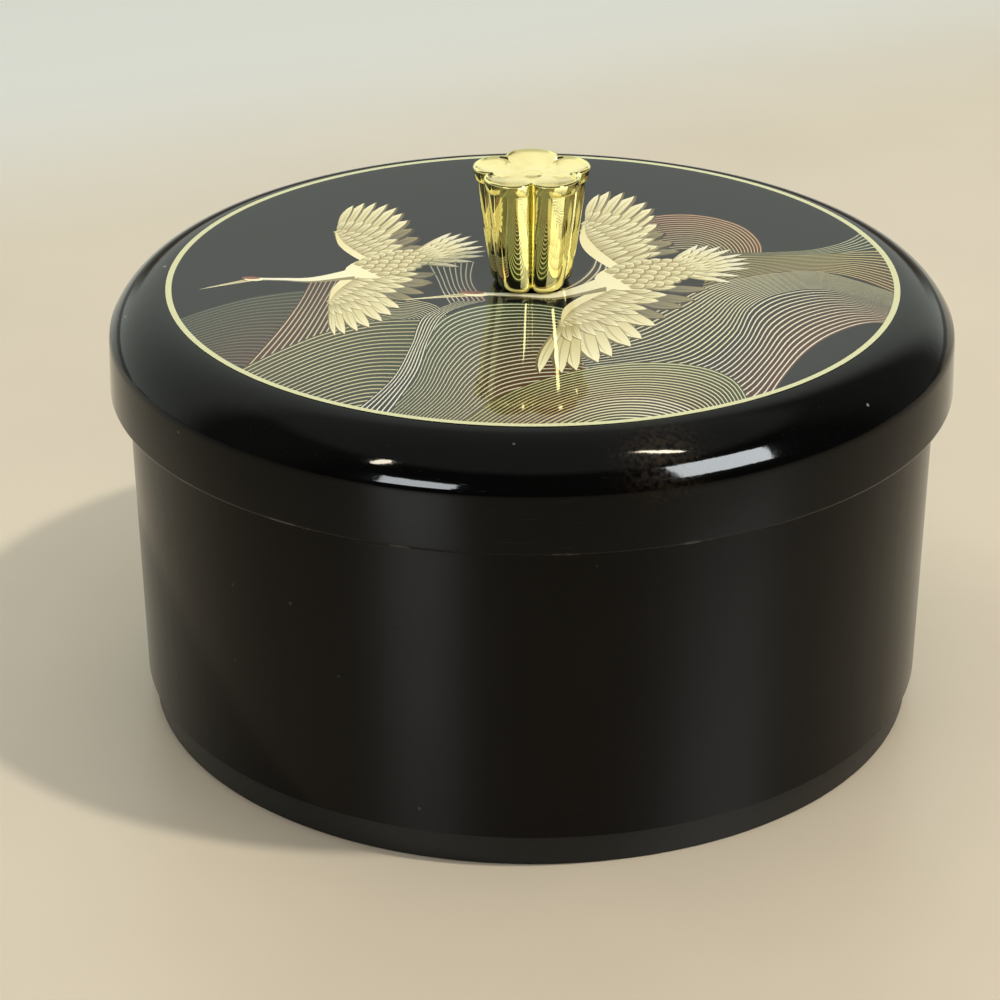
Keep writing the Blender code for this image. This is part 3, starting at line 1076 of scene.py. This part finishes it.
@dataclass
class BoxBody:
    """The open box with its drafted wall, rounded rim and low foot band. Sizes in metres."""

    sides: int = 256
    wall: float = 2.4 * MM
    floor: float = 2.5 * MM
    rim_corner: float = 0.5 * MM
    draft_deg: float = 0.8
    floor_corner: float = 2.0 * MM
    foot_height: float = 5.5 * MM
    foot_setback: float = 0.75 * MM
    foot_taper: float = 0.45 * MM
    foot_ring: float = 4.0 * MM
    foot_corner: float = 0.3 * MM
    recess: float = 1.2 * MM
    finish: MouldedPlastic = MouldedPlastic(
        "body_plastic", (0.0022, 0.0017, 0.0015), (0.0036, 0.0027, 0.0023), (0.16, 0.21), 0.10,
        0.12, 0.05, 0.06, 0.13)
    foot_finish: MouldedPlastic = MouldedPlastic(
        "foot_plastic", (0.0125, 0.0125, 0.0110), (0.0155, 0.0152, 0.0135), (0.34, 0.42), 0.14,
        0.15, 0.10, 0.05, 0.20)

    def build(self) -> bpy.types.Object:
        """Raise the body from its underside over the rim and down to its inner floor."""
        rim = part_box("body")[1]
        lean = math.tan(math.radians(self.draft_deg))
        height, radius = rim.z, rim.x
        wall_foot = (radius - (height - self.foot_height) * lean, self.foot_height)
        band_top = (wall_foot[0] - self.foot_setback, self.foot_height)
        band_low = (band_top[0] - self.foot_taper, 0.0)
        ring_inner = band_low[0] - self.foot_ring
        floor_top = self.recess + self.floor
        inner_rim = (radius - self.wall, height)
        inner_low = (radius - (height - floor_top) * lean - self.wall, floor_top)
        model = RingModel("box_body", self.sides, ring_inner, self.recess)
        model.follow(rounded((ring_inner, self.recess), (ring_inner, 0.0), band_low, 0.2 * MM, 4))
        model.follow(rounded((ring_inner, 0.0), band_low, band_top, self.foot_corner, 6))
        model.follow([band_top, wall_foot])
        model.follow(rounded(wall_foot, (radius, height), inner_rim, self.rim_corner))
        model.follow(rounded((radius, height), inner_rim, inner_low, self.rim_corner))
        model.follow(rounded(inner_rim, inner_low, (0.0, floor_top), self.floor_corner))
        piece = model.finished(15)
        wear(piece, self.finish.material(), self.foot_finish.material())
        for face in piece.data.polygons:
            face.material_index = int(face.center.z < self.foot_height - 1e-5
                                      and math.hypot(*face.center.xy) > ring_inner)
        return piece


@dataclass
class BoxLid:
    """The cap: dished top, rounded shoulder, crease and skirt, with a ledge inside. In metres."""

    sides: int = 256
    wall: float = 1.9 * MM
    top_thickness: float = 2.4 * MM
    dish: float = 1.2 * MM
    knob_seat: float = 7.4 * MM
    shoulder_radius: float = 11.0 * MM
    shoulder_rise: float = 6.9 * MM
    flare: float = 0.3 * MM
    edge_corner: float = 0.6 * MM
    crease_corner: float = 4.0 * MM
    seat_width: float = 1.2 * MM
    seat_gap: float = 0.3 * MM
    # The lid's finish: a broken lighter line at its lower edge, edge wear and painted highlight in one, and a
    # painted warm glow round the right lamp's reflection on its shoulder.
    finish: MouldedPlastic = MouldedPlastic(
        "lid_plastic", (0.0014, 0.0014, 0.0014), (0.0022, 0.0021, 0.0020), (0.045, 0.07), 0.05,
        0.80, 0.15, 0.10, 0.14, 54.95 * MM, (0.0190, -0.0625, 0.0682), 13.0 * MM)

    def _shoulder(self) -> tuple[Point, Point, float]:
        """The crease, the shoulder's centre and the angle at which its arc starts."""
        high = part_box("lid")[1]
        crease = (high.x - self.flare, high.z - self.shoulder_rise)
        rise = self.shoulder_radius - self.shoulder_rise
        run = math.sqrt(self.shoulder_radius ** 2 - rise ** 2)
        start = math.degrees(math.asin(rise / self.shoulder_radius))
        return crease, (crease[0] - run, high.z - self.shoulder_radius), start

    def surface(self) -> Callable[[float], float]:
        """The dished top, as a function that gives its height at a radius."""
        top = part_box("lid")[1].z
        flat = self._shoulder()[1][0]

        def height(radius: float) -> float:
            """Height of the top at a radius: lowest at the knob's seat."""
            share = (flat - radius) / (flat - self.knob_seat)
            return top - self.dish * min(max(share, 0.0), 1.0)

        return height

    def build(self) -> bpy.types.Object:
        """Raise the lid from its underside down the inside, round the edge and up to its top."""
        low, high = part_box("lid")
        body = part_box("body")[1]
        crease, centre, crease_deg = self._shoulder()
        outer = crease[0]
        inner = outer - self.wall
        seat = body.z + self.seat_gap
        cove = self.shoulder_radius - self.top_thickness
        seat_inner = (body.x - self.seat_width, seat)
        cove_deg = math.degrees(math.acos((seat_inner[0] - centre[0]) / cove))
        outer_low, inner_low = (high.x, low.z), (inner, low.z)
        shoulder = arc(centre, self.shoulder_radius, crease_deg, 90, 22)
        middle = self.surface()(0.0)
        model = RingModel("box_lid", self.sides, self.knob_seat, middle - self.top_thickness)
        model.follow(arc(centre, cove, 90, cove_deg, 8))
        model.follow([seat_inner, (inner, seat)])
        model.follow(rounded((inner, seat), inner_low, outer_low, self.edge_corner))
        model.follow(rounded(inner_low, outer_low, crease, self.edge_corner))
        model.follow(rounded(outer_low, crease, shoulder[1], self.crease_corner, 4))
        model.follow([*shoulder[1:], (self.knob_seat, middle)])
        piece = model.finished(15)
        wear(piece, self.finish.material())
        return piece


@dataclass
class LobedKnob:
    """The gold knob: five tapering lobes, a collar, and a dished flower on top. In metres."""

    lobes: int = 5
    lobe_steps: int = 28
    tip_radius: float = 9.57 * MM
    cleft_radius: float = 7.0 * MM
    base_tip_radius: float = 6.4 * MM
    base_cleft_radius: float = 4.8 * MM
    fullness: float = 0.7
    bulge: float = 0.25 * MM
    foot_round: float = 1.3 * MM
    collar_height: float = 2.2 * MM
    collar_step: float = 0.45 * MM
    rim_round: float = 0.3 * MM
    rim_width: float = 0.7 * MM
    rim_drop: float = 0.2 * MM
    dish: float = 0.9 * MM
    furrow: float = 0.4 * MM
    button: float = 1.7 * MM
    button_height: float = 0.3 * MM
    plate: GoldPlate = GoldPlate("gold_bright", (0.97, 0.92, 0.42), (0.92, 0.83, 0.35),
                                 (0.03, 0.07), 0.05)
    satin: GoldPlate = GoldPlate("gold_satin", (1.0, 0.86, 0.42), (0.97, 0.81, 0.37),
                                 (0.22, 0.30), 0.12)

    def _share(self, place: Vector) -> float:
        """How far a place lies across its lobe: 0 on the tip's line, 1 in the clefts."""
        half = math.pi / self.lobes
        angle = math.atan2(place.x, place.y)
        return abs((angle + half) % (2 * half) - half) / half

    def _radius(self, place: Vector, tip: float, cleft: float) -> float:
        """The lobed outline's radius in a place's direction."""
        swell = max(1 - self._share(place) ** 2, 0.0) ** self.fullness
        return cleft + (tip - cleft) * swell

    def _ring(self, model: RingModel, tip: float, cleft: float, height: float,
              furrow: float = 0.0) -> None:
        """Extrude the last ring into a lobed one.

        Args:
            model: The knob under way.
            tip: Radius at the lobes' tips.
            cleft: Radius in the clefts.
            height: The ring's height.
            furrow: How much lower the ring lies in the clefts' lines.
        """
        model.ring(model.radius, height)
        shape = bmesh.from_edit_mesh(model.piece.data)
        for corner in (corner for corner in shape.verts if corner.select):
            scale = self._radius(corner.co, tip, cleft) / corner.co.xy.length
            corner.co.x *= scale
            corner.co.y *= scale
            corner.co.z = height - furrow * self._share(corner.co) ** 5
        bmesh.update_edit_mesh(model.piece.data)

    def _wall(self, share: float, inset: float = 0.0) -> tuple[float, float]:
        """Tip and cleft radius of the tapering wall at a share of the height."""
        swell = self.bulge * 4 * share * (1 - share)
        tip = self.base_tip_radius + (self.tip_radius - self.base_tip_radius) * share
        cleft = self.base_cleft_radius + (self.cleft_radius - self.base_cleft_radius) * share
        return tip + swell - inset, cleft + swell * 0.6 - inset

    def build(self, seat: float) -> bpy.types.Object:
        """Raise the knob from the lid, ring by ring, and dish its flower.

        Args:
            seat: Height of what the knob stands on, in metres.

        Returns:
            The finished knob.
        """
        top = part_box("knob")[1].z
        height = top - seat
        model = RingModel("lobed_knob", self.lobes * self.lobe_steps, self.base_cleft_radius, seat)
        for inset, rise in ((self.foot_round * (1 - math.cos(math.radians(step * 15))),
                             self.foot_round * (1 - math.sin(math.radians(step * 15))))
                            for step in range(6, -1, -1)):
            self._ring(model, *self._wall(rise / height, inset), seat + rise)
        collar = 1 - self.collar_height / height
        foot = self.foot_round / height
        for index in range(1, 13):
            share = foot + (collar - foot) * index / 12
            self._ring(model, *self._wall(share, self.collar_step * index / 12),
                       seat + height * share)
        for inset, rise in ((0.12, 0.06), (0.0, 0.25)):
            self._ring(model, *self._wall(collar, inset * MM), seat + height * collar + rise * MM)
        for step in range(5):
            angle = math.radians(22.5 * step)
            inset = self.rim_round * (1 - math.cos(angle))
            self._ring(model, *self._wall(1.0, inset), top - self.rim_round * (1 - math.sin(angle)))
        inner_tip, inner_cleft = self._wall(1.0, self.rim_width)
        self._ring(model, *self._wall(1.0, (self.rim_round + self.rim_width) / 2),
                   top - self.rim_drop * 0.35)
        rings = 12
        for index in range(rings + 1):
            inward = index / rings
            depth = self.rim_drop + self.dish * (1 - (1 - inward) ** 2)
            self._ring(model, inner_tip + (self.button - inner_tip) * inward,
                       inner_cleft + (self.button - inner_cleft) * inward, top - depth,
                       self.furrow * math.sin(math.pi * min(inward + 0.25, 1.0)))
        bottom = top - self.rim_drop - self.dish
        for share, rise in ((0.92, 0.35), (0.80, 0.75), (0.62, 1.0), (0.40, 0.9), (0.15, 0.6)):
            self._ring(model, self.button * share, self.button * share,
                       bottom + self.button_height * rise)
        piece = model.finished(30)
        wear(piece, self.plate.material(), self.satin.material())
        for face in piece.data.polygons:
            inner = self._radius(face.center, inner_tip, inner_cleft)
            face.material_index = int(face.center.xy.length < inner
                                      and face.center.z > top - 2 * self.dish)
        return piece


class LampUse(Enum):
    """What a lamp is there for."""

    SHADING = "lights the surfaces and casts the shadow"
    MIRROR = "is only seen mirrored in the gloss"


@dataclass(frozen=True)
class Lamp:
    """A rectangular soft light, hung by its direction as seen from the box.

    Azimuth 0 is towards the camera and grows to the right. Spans and turns are in degrees.
    """

    name: str
    azimuth: float
    elevation: float
    span: tuple[float, float]
    power: float
    colour: Colour
    use: LampUse
    distance: float = 1.2
    roll: float = 0.0
    shape: str = "RECTANGLE"
    lights: tuple[str, ...] = ()

    def hang(self, pieces: dict[str, bpy.types.Object]) -> None:
        """Make the light, facing the box.

        Args:
            pieces: The box's pieces by name; the lamp is linked to those it is for, or to all.
        """
        data = bpy.data.lights.new(self.name, "AREA")
        data.shape = self.shape
        data.size, data.size_y = (
            2 * self.distance * math.tan(math.radians(span / 2)) for span in self.span)
        data.energy = self.power
        data.color = self.colour
        made = bpy.data.objects.new(self.name, data)
        azimuth, elevation = math.radians(self.azimuth), math.radians(self.elevation)
        away = Vector((math.sin(azimuth) * math.cos(elevation),
                       -math.cos(azimuth) * math.cos(elevation), math.sin(elevation)))
        made.location = Vector((0.0, 0.0, 0.065)) + away * self.distance
        turn = Quaternion(away, math.radians(self.roll)) @ away.to_track_quat("Z", "Y")
        made.rotation_mode = "QUATERNION"
        made.rotation_quaternion = turn
        made.visible_glossy = self.use is LampUse.MIRROR
        made.visible_diffuse = self.use is LampUse.SHADING
        bpy.context.collection.objects.link(made)
        if self.lights:
            lit = bpy.data.collections.new("lit_by_" + self.name)
            for name in self.lights:
                lit.objects.link(pieces[name])
            made.light_linking.receiver_collection = lit


@dataclass
class Studio:
    """A pale floor, soft light and the camera at the photograph's viewing angle."""

    camera_place: tuple[float, float, float] = (0.0, -0.44472, 0.24579)
    pitch_deg: float = 25.79
    yaw_deg: float = -0.663
    roll_deg: float = -0.134
    focal_px: float = 2960.0
    frame_px: float = 1000.0
    sensor_mm: float = 36.0
    lamps: tuple[Lamp, ...] = (
        Lamp("key", 67, 62, (3.5, 3.5), 6.9, (1.0, 0.96, 0.88), LampUse.SHADING, shape="ELLIPSE"),
        Lamp("overhead", -20, 70, (60, 60), 5.6, (0.97, 0.98, 1.0), LampUse.SHADING),
        Lamp("bulb_right", 61.5, 65.0, (3.0, 12.0), 4.2, (1.0, 0.90, 0.68), LampUse.MIRROR,
             shape="ELLIPSE", lights=("body", "lid", "floor")),
        Lamp("bulb_left", -47.5, 47.0, (3.0, 9.0), 2.4, (1.0, 0.90, 0.72), LampUse.MIRROR,
             shape="ELLIPSE", lights=("body", "lid", "floor")),
        Lamp("window_right", 54.5, 34.5, (24.0, 18.0), 27.0, (0.92, 0.97, 1.0), LampUse.MIRROR,
             roll=-10, lights=("body", "lid", "floor")),
        Lamp("window_left", -29.5, 21.5, (18.0, 17.0), 15.0, (0.92, 0.97, 1.0), LampUse.MIRROR,
             lights=("body", "lid", "floor")),
        Lamp("window_in_print", 47.0, 36.0, (48.0, 34.0), 48.0, (1.0, 0.99, 0.93), LampUse.MIRROR,
             lights=("print",)),
        Lamp("card_behind", 180.0, 42.0, (70.0, 44.0), 0.4, (1.0, 0.98, 0.92), LampUse.MIRROR,
             lights=("knob",)),
        Lamp("window_foot", 47.0, 3.0, (14.0, 16.0), 3.2, (1.0, 0.99, 0.93), LampUse.MIRROR,
             lights=("knob",)),
    )

    def camera(self) -> None:
        """Place the camera."""
        data = bpy.data.cameras.new("camera")
        data.sensor_width = self.sensor_mm
        data.lens = self.focal_px / self.frame_px * self.sensor_mm
        data.clip_start = 0.01
        made = bpy.data.objects.new("camera", data)
        made.location = self.camera_place
        pitch, yaw = math.radians(self.pitch_deg), math.radians(self.yaw_deg)
        ahead = Vector((math.sin(yaw) * math.cos(pitch), math.cos(yaw) * math.cos(pitch),
                        -math.sin(pitch)))
        made.rotation_mode = "QUATERNION"
        made.rotation_quaternion = (Quaternion(ahead, math.radians(-self.roll_deg))
                                    @ ahead.to_track_quat("-Z", "Y"))
        bpy.context.collection.objects.link(made)
        bpy.context.scene.camera = made

    def floor(self) -> bpy.types.Object:
        """A wide pale floor under the box, warm near it and greyer far behind."""
        bpy.ops.object.select_all(action="DESELECT")
        bpy.ops.mesh.primitive_circle_add(vertices=64, radius=6.0, fill_type="NGON")
        floor = bpy.context.object
        floor.name = "floor"
        bpy.ops.object.mode_set(mode="EDIT")
        bpy.ops.mesh.select_all(action="SELECT")
        bpy.ops.mesh.inset(thickness=5.0)
        bpy.ops.object.mode_set(mode="OBJECT")
        material, graph, shader = new_material("floor_paint")
        place = graph.node("ShaderNodeTexCoord").outputs["Object"]
        mottle = graph.step(graph.noise(place, 14.0, 5.0), 0.3, 0.7)
        warm = graph.blend(mottle, (0.66, 0.565, 0.43), (0.70, 0.60, 0.455))
        behind = graph.node("ShaderNodeVectorMath", {0: place, 1: (-0.43, 0.90, 0.0)},
                            operation="DOT_PRODUCT").outputs["Value"]
        far = graph.step(behind, 0.21, 0.36)
        beyond = graph.step(graph.node("ShaderNodeSeparateXYZ", {"Vector": place}).outputs["Y"],
                            0.55, 0.75)
        pale = graph.blend(far, warm, (0.74, 0.74, 0.69))
        graph.put(shader.inputs["Base Color"], graph.blend(beyond, pale, (0.15, 0.12, 0.09)))
        shader.inputs["Roughness"].default_value = 0.38
        wear(floor, material)
        return floor

    def lights(self, pieces: dict[str, bpy.types.Object]) -> None:
        """Hang the lamps and set the surroundings: pale behind, dim above, dark in front.

        Args:
            pieces: The box's pieces by name.
        """
        for lamp in self.lamps:
            lamp.hang(pieces)
        world = bpy.data.worlds.new("studio")
        bpy.context.scene.world = world
        world.use_nodes = True
        graph = Graph(world.node_tree)
        background = world.node_tree.nodes["Background"]
        ray = graph.node("ShaderNodeTexCoord").outputs["Generated"]
        level = graph.node("ShaderNodeVectorMath", {0: ray, 1: (-0.35, 0.94, 0.0)},
                           operation="DOT_PRODUCT").outputs["Value"]
        height = graph.node("ShaderNodeSeparateXYZ", {"Vector": ray}).outputs["Z"]
        depth = graph.node("ShaderNodeSeparateXYZ", {"Vector": ray}).outputs["Y"]
        low = graph.maths("MULTIPLY", graph.step(height, 0.16, 0.10), graph.step(depth, 0.88, 0.95))
        around = (0.96, 1.02, 0.92)
        for share, tone in ((graph.step(level, 0.60, 0.36), (0.18, 0.18, 0.17)),
                            (graph.step(level, 0.05, -0.30), (0.05, 0.05, 0.05)),
                            (low, (0.16, 0.13, 0.10)),
                            (graph.step(height, 0.74, 0.84), (0.60, 0.61, 0.58))):
            around = graph.blend(share, around, tone)
        graph.put(background.inputs["Color"], around)
        background.inputs["Strength"].default_value = 1.0
        bpy.context.scene.view_settings.view_transform = "Standard"


def main() -> None:
    """Build the studio and the box's pieces, and report each."""
    logging.basicConfig(level=logging.INFO, format="%(name)s: %(message)s")
    studio = Studio()
    studio.camera()
    floor = studio.floor()
    lid, picture = BoxLid(), LidPrint()
    lid_top = lid.surface()
    pieces = {
        "body": BoxBody().build(),
        "lid": lid.build(),
        "knob": LobedKnob().build(lid_top(0.0) + picture.thickness * MM),
    }
    for node, piece in pieces.items():
        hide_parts(node)
    pieces["print"] = picture.build(lid_top)
    for name, piece in pieces.items():
        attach(piece, "root")
        LOG.info("%s has %d faces", piece.name, len(piece.data.polygons))
    studio.lights({**pieces, "floor": floor})


if __name__ == "__main__":
    main()
